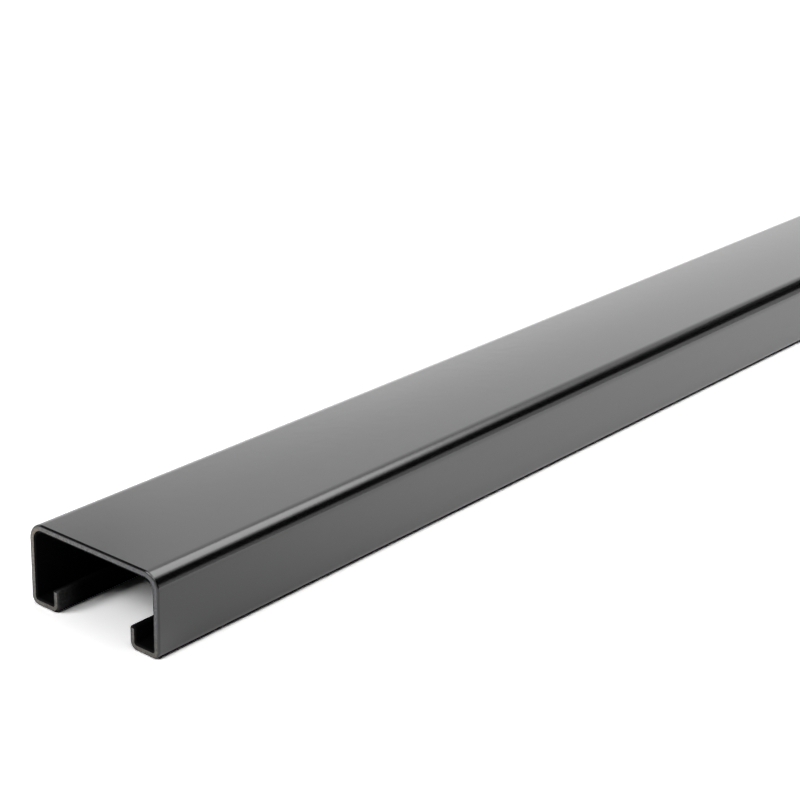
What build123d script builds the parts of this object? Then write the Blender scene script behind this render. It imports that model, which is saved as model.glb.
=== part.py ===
from build123d import *
import os

# Driving dimensions in millimetres
LENGTH = 1000.0       # one length of stock, cut square at both ends
WIDTH = 41.3          # over the outsides of the two side walls
HEIGHT = 20.6         # from the underside of the flanges to the top of the web
WALL = 1.9            # coated sheet, the same all round the section
SLOT = 23.0           # open gap between the two lips
LIP = 5.8             # from the underside of a flange to the tip of its lip
WEB_BEND = 2.3        # inside radius of the two folds beside the web
FLANGE_BEND = 0.2     # inside radius of the tight fold at each edge of a flange
SLIT_ROUND = 0.7      # softened corners along the tips of the lips
CUT_ROUND = 0.5       # softened edges round the two cut ends

# Most that a fold or a rounding may take of what it is made in
FLANGE_SHARE = 0.45   # each of the two folds on a flange
LIP_SHARE = 0.9       # the fold below a lip
SLIT_SHARE = 0.4      # each of the two corners on a lip's tip
CUT_SHARE = 0.3       # each edge of the sheet where it is cut

FLANGE = (WIDTH - SLOT) / 2
WEB_FOLD = WALL + WEB_BEND
FLANGE_FOLD = min(WALL + FLANGE_BEND, FLANGE_SHARE * FLANGE, LIP_SHARE * LIP)
SLIT_CORNER = min(SLIT_ROUND, SLIT_SHARE * WALL)
CUT_EDGE = min(CUT_ROUND, CUT_SHARE * WALL)


def sheet_side(depth):
    """Corners of one side of the sheet, from lip tip to lip tip, at a depth below its outside"""
    wall = WIDTH / 2 - depth
    lip = SLOT / 2 + depth
    right = [(wall, HEIGHT - depth), (wall, depth), (lip, depth), (lip, LIP)]
    left = [(-across, up) for across, up in reversed(right)]
    return left + right


def side_radii(depth):
    """The radius at each of those corners: a slit edge, two flange folds and a web fold, then back"""
    flange_fold = max(FLANGE_FOLD - depth, 0)
    web_fold = WEB_FOLD - depth
    left = [SLIT_CORNER, flange_fold, flange_fold, web_fold]
    return left + left[::-1]


def section():
    """The folded sheet seen along its length, with the slot at the bottom"""
    corners = sheet_side(0) + sheet_side(WALL)[::-1]
    radii = side_radii(0) + side_radii(WALL)
    return make_face(FilletPolyline(*corners, radius=radii, close=True))


def channel():
    """The whole length, lying on its flanges, with its middle over the origin"""
    start = Plane.YZ.offset(-LENGTH / 2)
    stock = extrude(start * section(), LENGTH)
    cut_edges = [edge for face in stock.faces().filter_by(Axis.X) for edge in face.edges()]
    return fillet(cut_edges, CUT_EDGE)


os.makedirs("parts", exist_ok=True)
export_step(channel(), "parts/strut_channel.step")
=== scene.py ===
"""One length of black strut channel, lying slot down on a pale studio floor."""
import math

import bpy
from mathutils import Matrix, Vector


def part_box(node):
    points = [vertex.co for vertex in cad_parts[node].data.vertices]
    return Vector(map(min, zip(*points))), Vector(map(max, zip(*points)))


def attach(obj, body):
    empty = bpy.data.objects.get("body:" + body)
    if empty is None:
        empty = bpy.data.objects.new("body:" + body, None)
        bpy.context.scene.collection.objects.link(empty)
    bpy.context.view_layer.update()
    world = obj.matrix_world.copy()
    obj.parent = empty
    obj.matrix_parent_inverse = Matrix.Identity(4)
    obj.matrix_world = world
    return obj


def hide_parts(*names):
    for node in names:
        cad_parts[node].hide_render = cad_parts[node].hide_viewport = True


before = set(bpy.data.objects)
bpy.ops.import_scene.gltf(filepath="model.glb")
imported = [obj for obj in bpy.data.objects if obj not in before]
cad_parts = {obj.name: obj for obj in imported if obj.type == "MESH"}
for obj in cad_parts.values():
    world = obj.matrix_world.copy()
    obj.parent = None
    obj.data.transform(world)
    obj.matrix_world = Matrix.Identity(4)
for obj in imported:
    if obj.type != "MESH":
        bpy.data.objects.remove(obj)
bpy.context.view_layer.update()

# The section, in metres. Its length, width and height come from the CAD part's box.
NODE = "strut_channel"
LOW, HIGH = (Vector(corner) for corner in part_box(NODE))
HALF_LENGTH = (HIGH.x - LOW.x) / 2
HALF_WIDTH = (HIGH.y - LOW.y) / 2
HEIGHT = HIGH.z - LOW.z
WALL = 0.0019
HALF_SLOT = 0.0115
LIP = 0.0058
WEB_FOLD = 0.0042        # outside radius of the folds beside the web
FLANGE_FOLD = 0.0021     # outside radius of the folds at a flange's edges
SLIT_ROUND = 0.0007      # corners of a lip's tip
CUT_ROUND = 0.0005       # edges of the sheet at a cut end

# How finely the mesh follows it
FOLD_STEPS = 14
SLIT_STEPS = 5
CUT_STEPS = 5
FLAT_STEP = 0.0025       # longest step over a flat of the section
ROW_STEP = 0.0100        # longest step along the length
ROUNDING = 1e-9          # slack for rounding in a product that is 0 on a flat
RIGHT_ANGLE = math.pi / 2

# The mesh's material slots
COAT, CUT, INNER = range(3)

# Colours, each as the dark and the light of its grain or cloud
COAT_BLACK = ((0.0008, 0.0008, 0.0010), (0.0018, 0.0018, 0.0021))
INNER_BLACK = ((0.0003, 0.0003, 0.0004), (0.0009, 0.0009, 0.0010))
INNER_PAINTED_LIGHT = ((0.020, 0.020, 0.020), (0.050, 0.050, 0.049))
# The cut end's colours carry painted light and shade: paler on the left, where the light falls, and
# darker on the right
CUT_RIGHT_PAINTED_SHADE = ((0.036, 0.037, 0.041), (0.112, 0.114, 0.122))
CUT_LEFT_PAINTED_LIGHT = ((0.064, 0.063, 0.061), (0.196, 0.192, 0.186))
CUT_TAN_PAINTED_LIGHT = ((0.086, 0.070, 0.054), (0.262, 0.212, 0.165))
CUT_FOOT_PAINTED_SHADE = ((0.043, 0.040, 0.034), (0.138, 0.128, 0.108))
NOISE_RANGE = (0.3, 0.7)     # the part of a noise that is spread over a range

# Where the cut end's colours lie, as shares of the height
# painted light: the left wall's cut end turns paler and tan towards the top
PAINTED_LIGHT_RISE = (0.30, 1.00)      # over which the tan of the left wall comes in, going up
# painted shade: the cut end turns darker and warmer towards the floor
PAINTED_SHADE_RISE = (0.40, 0.05)     # over which the warmer foot comes in, going down

# Where light is painted on the lips, paler on their slot side near a cut end, in metres
PAINTED_LIGHT_DEPTH = 0.008               # from a cut end inwards
PAINTED_LIGHT_SIDE = (0.0010, 0.0004)     # past the slot side of a lip, from none to all
PAINTED_LIGHT_TOP = (0.0008, 0.0002)      # past the tip of a lip, from none to all

# The studio, in metres
FLOOR_HALF = 8.0
FLOOR_COLOUR = 0.85      # what the floor gives back to the set
FLOOR_SEEN = 1.50        # what it looks like to the eye
# The floor's look in reflections carries painted light, brighter farther along and beside the walls,
# and painted shadow, black under the channel
FLOOR_SHINE = (1.12, 1.62)       # and in reflections, beside the near end and farther along
FLOOR_TURN = (-0.50, -0.37)      # where along X the first goes over to the second
FLOOR_PAINTED_LIGHT_BESIDE = 1.25      # how much brighter it looks in reflections close beside the side walls
PAINTED_LIGHT_REACH = 0.012     # how far out from a wall that goes
PAINTED_SHADOW_SIDE = 0.0004       # how far under a wall the floor turns black in reflections
PAINTED_SHADOW_END = 0.0005        # and how far under an end
FLOOR_FADE = (0.9, 1.6)  # distance from the middle over which it goes over to the white background
AMBIENT = 0.020          # the white room's light on everything that isn't shiny

# The dark cards' edges, as heading, lowest and highest elevation in degrees
RIGHT_CARD = [(-130, -1, 60), (-60, 0, 60), (-54, 9.5, 56), (-47, 13.5, 47), (-40, 16, 41),
              (-33, 16, 39), (-20, 16.5, 38), (-12, 17, 37.5), (-3, 17, 36.3), (5, 19, 33),
              (8, 20, 30)]
LEFT_CARD = [(62, 44, 50), (75, 30, 60), (95, 0, 62), (140, 0, 62), (150, 15, 50)]
CARD_COLOUR = (0.004, 0.004, 0.004, 1)
CARD_DISTANCE = 6.0
CARD_STEP = 3            # degrees of heading from one stop of a card's edge to the next
SEEN_MIDDLE = Vector((-0.4, 0, 0.02))    # the middle of what the camera sees

# The glow card behind the channel
GLOW_X = (-0.60, 1.2)
GLOW_Y = 0.15
GLOW_Z = (0.001, 0.105)
GLOW_START = (-0.42, -0.22, 1.35, 2.5)   # from and to along X, with the strength at each
GLOW_FADE = (-0.15, 0.15, 1.0, 0.8)      # and the share that is left of it at each

CAMERA_AT = Vector((-0.77175, -0.30543, 0.21647))
CAMERA_AIM = Vector((-0.34527, 0.03988, 0.0))
CAMERA_ROLL = math.radians(1.678)
CAMERA_LENS = 92.20      # for a picture 36 mm wide
NEAR_END = (-0.5, 0, 0)

EYE = ("Is Camera Ray",)
MIRRORED = ("Is Glossy Ray", "Is Transmission Ray")


def along(start, end, longest):
    """Points after start up to end, no further apart than longest"""
    steps = max(1, math.ceil((end - start).length / longest))
    return [start.lerp(end, step / steps) for step in range(1, steps + 1)]


def turn(angle):
    """The direction at an angle from +Y towards +Z"""
    return Vector((math.cos(angle), math.sin(angle)))


def half_sheet():
    """The +Y half of the sheet from the middle of the web to the lip's tip.

    Each station is a point on the sheet's outside and the direction out of the channel there.
    """
    corners = [((HALF_WIDTH, HEIGHT), WEB_FOLD),
               ((HALF_WIDTH, 0), FLANGE_FOLD),
               ((HALF_SLOT, 0), FLANGE_FOLD)]
    facing = RIGHT_ANGLE
    stations = [(Vector((0, HEIGHT)), turn(facing))]
    for corner, radius in corners:
        after = facing - RIGHT_ANGLE
        centre = Vector(corner) - (turn(facing) + turn(after)) * radius
        start = centre + turn(facing) * radius
        stations += [(point, turn(facing)) for point in along(stations[-1][0], start, FLAT_STEP)]
        for step in range(1, FOLD_STEPS + 1):
            normal = turn(facing - step / FOLD_STEPS * RIGHT_ANGLE)
            stations.append((centre + normal * radius, normal))
        facing = after
    tip = Vector((HALF_SLOT, LIP - SLIT_ROUND))
    stations += [(point, turn(facing)) for point in along(stations[-1][0], tip, FLAT_STEP)]
    return stations


def slit_edge():
    """The rounded tip of the +Y lip, from its slot side to its inside, as points and normals"""
    up = LIP - SLIT_ROUND
    corners = [(HALF_SLOT + SLIT_ROUND, math.pi), (HALF_SLOT + WALL - SLIT_ROUND, RIGHT_ANGLE)]
    edge = []
    for painted_light_across, start in corners:
        for step in range(SLIT_STEPS + 1):
            normal = turn(start - step / SLIT_STEPS * RIGHT_ANGLE)
            edge.append((Vector((painted_light_across, up)) + normal * SLIT_ROUND, normal))
    return edge[1:-1]


def mirrored(pairs):
    """The same points and directions on the other side of the channel, in the other order"""
    return [(Vector((-a.x, a.y)), Vector((-b.x, b.y))) for a, b in reversed(pairs)]


def section_ring():
    """The closed outline as points and outward normals, and the number of stations on each side"""
    half = half_sheet()
    outside = mirrored(half)[:-1] + half
    inside = [(point - normal * WALL, -normal) for point, normal in reversed(outside)]
    tip = slit_edge()
    return outside + tip + inside + mirrored(tip), len(outside)


def lengthwise_rows():
    """Each row's place along X and how far the surface there leans towards the cut end"""
    straight = HALF_LENGTH - CUT_ROUND
    leans = [step / CUT_STEPS * RIGHT_ANGLE for step in range(1, CUT_STEPS + 1)]
    cut = [(straight + CUT_ROUND * math.sin(lean), lean) for lean in leans]
    steps = math.ceil(2 * straight / ROW_STEP)
    middle = [(-straight + 2 * straight * step / steps, 0.0) for step in range(steps + 1)]
    return [(-x, -lean) for x, lean in reversed(cut)] + middle + cut


def ring_points(ring, rows):
    """The points and normals of the ring at every row, drawn in where a cut edge is rounded"""
    verts = []
    normals = []
    for x, lean in rows:
        inset = CUT_ROUND * (1 - math.cos(lean))
        verts += [(x, *(point - normal * inset)) for point, normal in ring]
        normals += [(math.sin(lean), *(normal * math.cos(lean))) for point, normal in ring]
    return verts, normals


def long_faces(ring_size, row_count):
    """The faces between each row and the next"""
    faces = []
    for row in range(row_count - 1):
        here, beyond = row * ring_size, (row + 1) * ring_size
        for step in range(ring_size):
            after = (step + 1) % ring_size
            faces.append([here + step, beyond + step, beyond + after, here + after])
    return faces


def cut_face(first, count, ring_size):
    """The flat end of the sheet: a ladder across its thickness, closed by a polygon at each tip"""
    tip_size = (ring_size - 2 * count) // 2
    last_inside = 2 * count + tip_size - 1
    faces = []
    for step in range(count - 1):
        inner = first + last_inside - step
        faces.append([first + step, first + step + 1, inner - 1, inner])
    one_tip = [first + index for index in range(count - 1, count + tip_size + 1)]
    other_tip = [first + index for index in range(last_inside, ring_size)] + [first]
    return faces + [one_tip, other_tip]


def in_the_open(ring, count, step):
    """Whether the strip from this point of the ring to the next is on the web, a side or a flange"""
    pair = ring[step:step + 2]
    return step + 1 < count and all(point.x * normal.x > -ROUNDING for point, normal in pair)


def channel_mesh(coat, cut, inner):
    """The whole channel as one closed mesh, in its coat, with the cut ends and the inside apart"""
    ring, count = section_ring()
    rows = lengthwise_rows()
    size = len(ring)
    verts, normals = ring_points(ring, rows)
    faces = long_faces(size, len(rows))
    start_cap = cut_face(0, count, size)
    end_cap = [face[::-1] for face in cut_face((len(rows) - 1) * size, count, size)]
    strip = [COAT if in_the_open(ring, count, step) else INNER for step in range(size)]
    slots = strip * (len(rows) - 1) + [CUT] * (len(start_cap) + len(end_cap))
    mesh = bpy.data.meshes.new("channel")
    mesh.from_pydata(verts, [], faces + start_cap + end_cap)
    for material in (coat, cut, inner):
        mesh.materials.append(material)
    for polygon, slot in zip(mesh.polygons, slots):
        polygon.use_smooth = True
        polygon.material_index = slot
    mesh.normals_split_custom_set_from_vertices(normals)
    return mesh


def new_material(name):
    """A new material, its node tree and its main shader"""
    material = bpy.data.materials.new(name)
    material.use_nodes = True
    return material, material.node_tree, material.node_tree.nodes["Principled BSDF"]


def bare_material(name):
    """A new material without its main shader, its node tree and the socket its surface goes into"""
    material, tree, shader = new_material(name)
    tree.nodes.remove(shader)
    return material, tree, tree.nodes["Material Output"].inputs["Surface"]


def feed(tree, value, socket):
    """Give a socket a number, or a value that comes from another node"""
    if isinstance(value, bpy.types.NodeSocket):
        tree.links.new(value, socket)
    else:
        socket.default_value = value


def calculated(tree, operation, *values):
    """The result of one operation on one or two values"""
    node = tree.nodes.new("ShaderNodeMath")
    node.operation = operation
    for value, socket in zip(values, node.inputs):
        tree.links.new(value, socket)
    return node.outputs["Value"]


def ramp(tree, value, start, end, low=0.0, high=1.0, smooth=False):
    """A number that goes from low to high while the value goes from start to end"""
    spread = tree.nodes.new("ShaderNodeMapRange")
    if smooth:
        spread.interpolation_type = "SMOOTHSTEP"
    names = ("From Min", "From Max", "To Min", "To Max")
    for name, number in zip(names, (start, end, low, high)):
        spread.inputs[name].default_value = number
    tree.links.new(value, spread.inputs["Value"])
    return spread.outputs["Result"]


def object_place(tree):
    """The place on the object in its own metres"""
    return tree.nodes.new("ShaderNodeTexCoord").outputs["Object"]


def object_axes(tree):
    """The place on the object as its own X, Y and Z in metres"""
    axes = tree.nodes.new("ShaderNodeSeparateXYZ")
    tree.links.new(object_place(tree), axes.inputs["Vector"])
    return axes.outputs


def noise(tree, scale, detail, stretch=(1, 1, 1)):
    """Noise in the object's own metres, stretched by a factor along each axis"""
    spread = tree.nodes.new("ShaderNodeMapping")
    spread.inputs["Scale"].default_value = stretch
    texture = tree.nodes.new("ShaderNodeTexNoise")
    texture.inputs["Scale"].default_value = scale
    texture.inputs["Detail"].default_value = detail
    tree.links.new(object_place(tree), spread.inputs["Vector"])
    tree.links.new(spread.outputs["Vector"], texture.inputs["Vector"])
    return texture.outputs["Fac"]


def noise_number(tree, value, low, high):
    """A noise value spread over a range of numbers"""
    return ramp(tree, value, *NOISE_RANGE, low, high)


def noise_colour(tree, value, colours):
    """A noise value spread over two colours"""
    blend = tree.nodes.new("ShaderNodeValToRGB")
    for element, position, colour in zip(blend.color_ramp.elements, NOISE_RANGE, colours):
        element.position = position
        element.color = (*colour, 1)
    tree.links.new(value, blend.inputs["Fac"])
    return blend.outputs["Color"]


def mixed_colour(tree, factor, first, second):
    """The first colour going over to the second with the factor"""
    mix = tree.nodes.new("ShaderNodeMix")
    mix.data_type = "RGBA"
    tree.links.new(factor, mix.inputs["Factor"])
    tree.links.new(first, mix.inputs[6])
    tree.links.new(second, mix.inputs[7])
    return mix.outputs[2]


def mixed_number(tree, factor, first, second):
    """The first number going over to the second with the factor"""
    mix = tree.nodes.new("ShaderNodeMix")
    tree.links.new(factor, mix.inputs["Factor"])
    feed(tree, first, mix.inputs["A"])
    feed(tree, second, mix.inputs["B"])
    return mix.outputs["Result"]


def bump(tree, height, depth, under=None):
    """Relief of a depth in metres, laid over another relief if one is given"""
    relief = tree.nodes.new("ShaderNodeBump")
    relief.inputs["Distance"].default_value = depth
    tree.links.new(height, relief.inputs["Height"])
    if under is not None:
        tree.links.new(under, relief.inputs["Normal"])
    return relief.outputs["Normal"]


def seen_rays(tree, kinds):
    """1 for rays of these kinds, otherwise 0"""
    path = tree.nodes.new("ShaderNodeLightPath")
    total = path.outputs[kinds[0]]
    for kind in kinds[1:]:
        total = calculated(tree, "MAXIMUM", total, path.outputs[kind])
    return total


def dress(tree, shader, colour, roughness, normal):
    """Wire the shader's colour, roughness and relief"""
    tree.links.new(colour, shader.inputs["Base Color"])
    tree.links.new(roughness, shader.inputs["Roughness"])
    tree.links.new(normal, shader.inputs["Normal"])


def black_coat():
    """Satin black powder coat: faint orange peel under a fine grain"""
    material, tree, shader = new_material("black_powder_coat")
    shader.inputs["IOR"].default_value = 1.6
    colour = noise_colour(tree, noise(tree, 60, 3, stretch=(0.25, 1, 1)), COAT_BLACK)
    roughness = noise_number(tree, noise(tree, 220, 4), 0.170, 0.190)
    peel = bump(tree, noise(tree, 420, 2), depth=0.000010)
    grain = bump(tree, noise(tree, 5200, 2), depth=0.000002, under=peel)
    dress(tree, shader, colour, roughness, grain)
    return material


def cut_colour(tree):
    """Painted light and shade on the cut end: painted shade darker to the right, painted light paler
    to the left, painted shade darker and warmer at the foot, and painted light as a paler tan up the
    left wall
    """
    grain = noise(tree, 1700, 4)
    right, left, painted_tan_light, painted_foot_shade = (noise_colour(tree, grain, colours)
                              for colours in (CUT_RIGHT_PAINTED_SHADE, CUT_LEFT_PAINTED_LIGHT, CUT_TAN_PAINTED_LIGHT, CUT_FOOT_PAINTED_SHADE))
    axes = object_axes(tree)
    # painted light and shade across the cut end, from the shaded right to the lit left
    painted_light_across = ramp(tree, axes["Y"], -HALF_WIDTH, HALF_WIDTH)
    on_wall = ramp(tree, axes["Y"], HALF_WIDTH - 2 * WALL, HALF_WIDTH - WALL)
    # painted light, rising up the left wall
    up = ramp(tree, axes["Z"], *(share * HEIGHT for share in PAINTED_LIGHT_RISE))
    # painted shade near the floor
    low = ramp(tree, axes["Z"], *(share * HEIGHT for share in PAINTED_SHADE_RISE))
    plain = mixed_colour(tree, low, mixed_colour(tree, painted_light_across, right, left), painted_foot_shade)
    return mixed_colour(tree, calculated(tree, "MULTIPLY", on_wall, up), plain, painted_tan_light)


def cut_coat():
    """The coat over a sheared end: duller, greyer and grainy"""
    material, tree, shader = new_material("coated_cut_end")
    roughness = noise_number(tree, noise(tree, 2600, 3), 0.45, 0.62)
    grain = bump(tree, noise(tree, 3200, 4), depth=0.00004)
    dress(tree, shader, cut_colour(tree), roughness, grain)
    return material


def inner_colour(tree):
    """Black, going over to grey painted light on the slot side of the lips close to a cut end, where
    light falls in through the open end
    """
    dark = noise_colour(tree, noise(tree, 140, 3, stretch=(0.3, 1, 1)), INNER_BLACK)
    painted_light = noise_colour(tree, noise(tree, 1500, 3), INNER_PAINTED_LIGHT)
    axes = object_axes(tree)
    from_middle = calculated(tree, "ABSOLUTE", axes["X"])
    from_centre = calculated(tree, "ABSOLUTE", axes["Y"])
    end = ramp(tree, from_middle, HALF_LENGTH - PAINTED_LIGHT_DEPTH, HALF_LENGTH)
    lip = ramp(tree, from_centre, *(HALF_SLOT + past for past in PAINTED_LIGHT_SIDE))
    low = ramp(tree, axes["Z"], *(LIP + past for past in PAINTED_LIGHT_TOP))
    # painted light, strongest at the cut end and fading inwards
    near = calculated(tree, "MULTIPLY", calculated(tree, "MULTIPLY", end, end),
                      calculated(tree, "MULTIPLY", lip, low))
    return mixed_colour(tree, near, dark, painted_light)


def inner_coat():
    """The dull coat inside the channel and on the lips"""
    material, tree, shader = new_material("dull_inner_coat")
    shader.inputs["IOR"].default_value = 1.5
    shader.inputs["Specular IOR Level"].default_value = 0.06
    roughness = noise_number(tree, noise(tree, 300, 4), 0.62, 0.75)
    grain = bump(tree, noise(tree, 2600, 3), depth=0.000008)
    dress(tree, shader, inner_colour(tree), roughness, grain)
    return material


def placed(name, data):
    """A new object in the scene"""
    body = bpy.data.objects.new(name, data)
    bpy.context.scene.collection.objects.link(body)
    return body


def add_channel():
    """The channel itself, standing for its CAD node"""
    channel = placed("channel_coated", channel_mesh(black_coat(), cut_coat(), inner_coat()))
    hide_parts(NODE)
    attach(channel, "root")


def mirrored_floor(tree):
    """How bright the floor looks in reflections: painted light that rises along X and is raised
    beside the walls, and painted shadow, black under the channel
    """
    axes = object_axes(tree)
    from_middle = calculated(tree, "ABSOLUTE", axes["X"])
    from_centre = calculated(tree, "ABSOLUTE", axes["Y"])
    shine = ramp(tree, axes["X"], *FLOOR_TURN, *FLOOR_SHINE, smooth=True)
    painted_light_beside = ramp(tree, from_centre, HALF_WIDTH + PAINTED_LIGHT_REACH, HALF_WIDTH, 1.0, FLOOR_PAINTED_LIGHT_BESIDE)
    out = ramp(tree, from_centre, HALF_WIDTH - PAINTED_SHADOW_SIDE, HALF_WIDTH)
    past = ramp(tree, from_middle, HALF_LENGTH - PAINTED_SHADOW_END, HALF_LENGTH)
    outside_painted_shadow = calculated(tree, "MAXIMUM", out, past)
    return calculated(tree, "MULTIPLY", calculated(tree, "MULTIPLY", shine, painted_light_beside), outside_painted_shadow)


def floor_surface(tree):
    """The floor's own pale surface, at one level to the set, one in reflections and one to the eye"""
    reflected = mixed_number(tree, seen_rays(tree, MIRRORED), FLOOR_COLOUR, mirrored_floor(tree))
    level = mixed_number(tree, seen_rays(tree, EYE), reflected, FLOOR_SEEN)
    colour = tree.nodes.new("ShaderNodeCombineColor")
    for channel in ("Red", "Green", "Blue"):
        tree.links.new(level, colour.inputs[channel])
    diffuse = tree.nodes.new("ShaderNodeBsdfDiffuse")
    tree.links.new(colour.outputs["Color"], diffuse.inputs["Color"])
    return diffuse.outputs["BSDF"]


def floor_material():
    """The pale surface, going over to plain white far out for the eye and in reflections"""
    material, tree, surface = bare_material("pale_floor")
    distance = tree.nodes.new("ShaderNodeVectorMath")
    distance.operation = "LENGTH"
    tree.links.new(object_place(tree), distance.inputs[0])
    distant = ramp(tree, distance.outputs["Value"], *FLOOR_FADE)
    white = tree.nodes.new("ShaderNodeEmission")
    blend = tree.nodes.new("ShaderNodeMixShader")
    seen = seen_rays(tree, EYE + MIRRORED)
    tree.links.new(calculated(tree, "MULTIPLY", distant, seen), blend.inputs["Fac"])
    tree.links.new(floor_surface(tree), blend.inputs[1])
    tree.links.new(white.outputs["Emission"], blend.inputs[2])
    tree.links.new(blend.outputs["Shader"], surface)
    return material


def add_floor():
    """A wide, plain, pale floor under the channel"""
    mesh = bpy.data.meshes.new("floor")
    corners = [(-1, -1), (1, -1), (1, 1), (-1, 1)]
    mesh.from_pydata([(x * FLOOR_HALF, y * FLOOR_HALF, 0) for x, y in corners], [], [(0, 1, 2, 3)])
    mesh.materials.append(floor_material())
    floor = placed("floor", mesh)


def add_lamp(name, at, towards, shape, width, height, radiance):
    """A flat lamp of one radiance, facing a point"""
    lamp = bpy.data.lights.new(name, "AREA")
    lamp.shape = shape
    lamp.size = width
    lamp.size_y = height
    area = width * height * (math.pi / 4 if shape == "DISK" else 1)
    lamp.energy = radiance * math.pi * area
    body = placed(name, lamp)
    body.location = at
    body.rotation_mode = "QUATERNION"
    body.rotation_quaternion = (Vector(towards) - Vector(at)).to_track_quat("-Z", "Y")


def add_mirrored_card(name, mesh):
    """A card that is seen only in reflections"""
    card = placed(name, mesh)
    card.visible_camera = False
    card.visible_diffuse = False
    card.visible_transmission = False
    card.visible_shadow = False


def sky_point(heading, elevation):
    """A point far out in that direction, in degrees, from the middle of what the camera sees"""
    turned, raised = math.radians(heading), math.radians(elevation)
    flat = math.cos(raised)
    out = Vector((flat * math.cos(turned), flat * math.sin(turned), math.sin(raised)))
    return SEEN_MIDDLE + out * CARD_DISTANCE


def card_stops(edge):
    """The edge of a card with stops added between its own, so that it bends round the set"""
    stops = []
    for start, end in zip(edge, edge[1:]):
        steps = max(1, round(abs(end[0] - start[0]) / CARD_STEP))
        for step in range(steps):
            share = step / steps
            stops.append(tuple(a + (b - a) * share for a, b in zip(start, end)))
    return stops + [edge[-1]]


def add_dark_card(name, edge):
    """A dark card with an edge given as heading, lowest and highest elevation"""
    stops = card_stops(edge)
    verts = [sky_point(heading, lowest) for heading, lowest, highest in stops]
    verts += [sky_point(heading, highest) for heading, lowest, highest in stops]
    count = len(stops)
    faces = [(i, i + 1, count + i + 1, count + i) for i in range(count - 1)]
    mesh = bpy.data.meshes.new(name)
    mesh.from_pydata(verts, [], faces)
    material, tree, shader = new_material(name)
    shader.inputs["Base Color"].default_value = CARD_COLOUR
    shader.inputs["Roughness"].default_value = 1.0
    shader.inputs["Specular IOR Level"].default_value = 0.0
    mesh.materials.append(material)
    add_mirrored_card(name, mesh)


def add_glow_card():
    """A low white card close behind the channel"""
    (near, far), (bottom, top) = GLOW_X, GLOW_Z
    corners = [(near, bottom), (far, bottom), (far, top), (near, top)]
    mesh = bpy.data.meshes.new("glow_card")
    mesh.from_pydata([(x, GLOW_Y, z) for x, z in corners], [], [(0, 1, 2, 3)])
    material, tree, surface = bare_material("glow_card")
    along_x = object_axes(tree)["X"]
    strength = calculated(tree, "MULTIPLY", ramp(tree, along_x, *GLOW_START),
                          ramp(tree, along_x, *GLOW_FADE))
    glow = tree.nodes.new("ShaderNodeEmission")
    tree.links.new(strength, glow.inputs["Strength"])
    tree.links.new(glow.outputs["Emission"], surface)
    mesh.materials.append(material)
    add_mirrored_card("glow_card", mesh)


def add_world():
    """White to the eye and in reflections, and a quieter light on everything else"""
    world = bpy.data.worlds.new("studio")
    bpy.context.scene.world = world
    world.use_nodes = True
    tree = world.node_tree
    background = tree.nodes["Background"]
    background.inputs["Color"].default_value = (1, 1, 1, 1)
    strength = ramp(tree, seen_rays(tree, EYE + MIRRORED), 0.0, 1.0, AMBIENT, 1.0)
    tree.links.new(strength, background.inputs["Strength"])


def add_camera():
    """The photograph's view of the near end"""
    camera = bpy.data.cameras.new("camera")
    camera.lens = CAMERA_LENS
    camera.sensor_width = 36.0
    camera.clip_start = 0.01
    camera.clip_end = 100.0
    body = placed("camera", camera)
    aim = (CAMERA_AIM - CAMERA_AT).to_track_quat("-Z", "Y").to_matrix().to_4x4()
    roll = Matrix.Rotation(CAMERA_ROLL, 4, "Z")
    body.matrix_world = Matrix.Translation(CAMERA_AT) @ aim @ roll
    bpy.context.scene.camera = body


def light_studio():
    """The lamps, the cards seen in reflections and the white room.

    A soft box hangs overhead with a weaker one just above it that reaches past its rim. A wall of
    light stands to the left beyond the far end, and three lamps stand round the near end.
    """
    add_lamp("soft_box", (0.50, -0.11, 1.5), (0.50, -0.11, 0), "DISK", 1.30, 1.30, 3.3)
    add_lamp("soft_box_edge", (0.50, -0.11, 1.501), (0.50, -0.11, 0), "DISK", 1.80, 1.80, 0.85)
    add_lamp("wall_light", (2.69, 1.5, 1.25), (2.69, 0, 1.25), "RECTANGLE", 3.6, 2.50, 0.42)
    add_lamp("key_light", (-1.822, 0.619, 1.216), NEAR_END, "RECTANGLE", 0.756, 0.715, 10.8)
    add_lamp("front_light", (-1.533, -0.392, 1.546), NEAR_END, "RECTANGLE", 1.154, 0.643, 3.8)
    add_lamp("side_light", (-0.576, -0.876, 1.684), NEAR_END, "RECTANGLE", 1.008, 0.735, 3.14)
    add_dark_card("right_card", RIGHT_CARD)
    add_glow_card()
    add_dark_card("left_card", LEFT_CARD)
    add_world()


add_channel()
add_floor()
light_studio()
add_camera()
bpy.context.scene.view_settings.view_transform = "Standard"
bpy.context.view_layer.update()
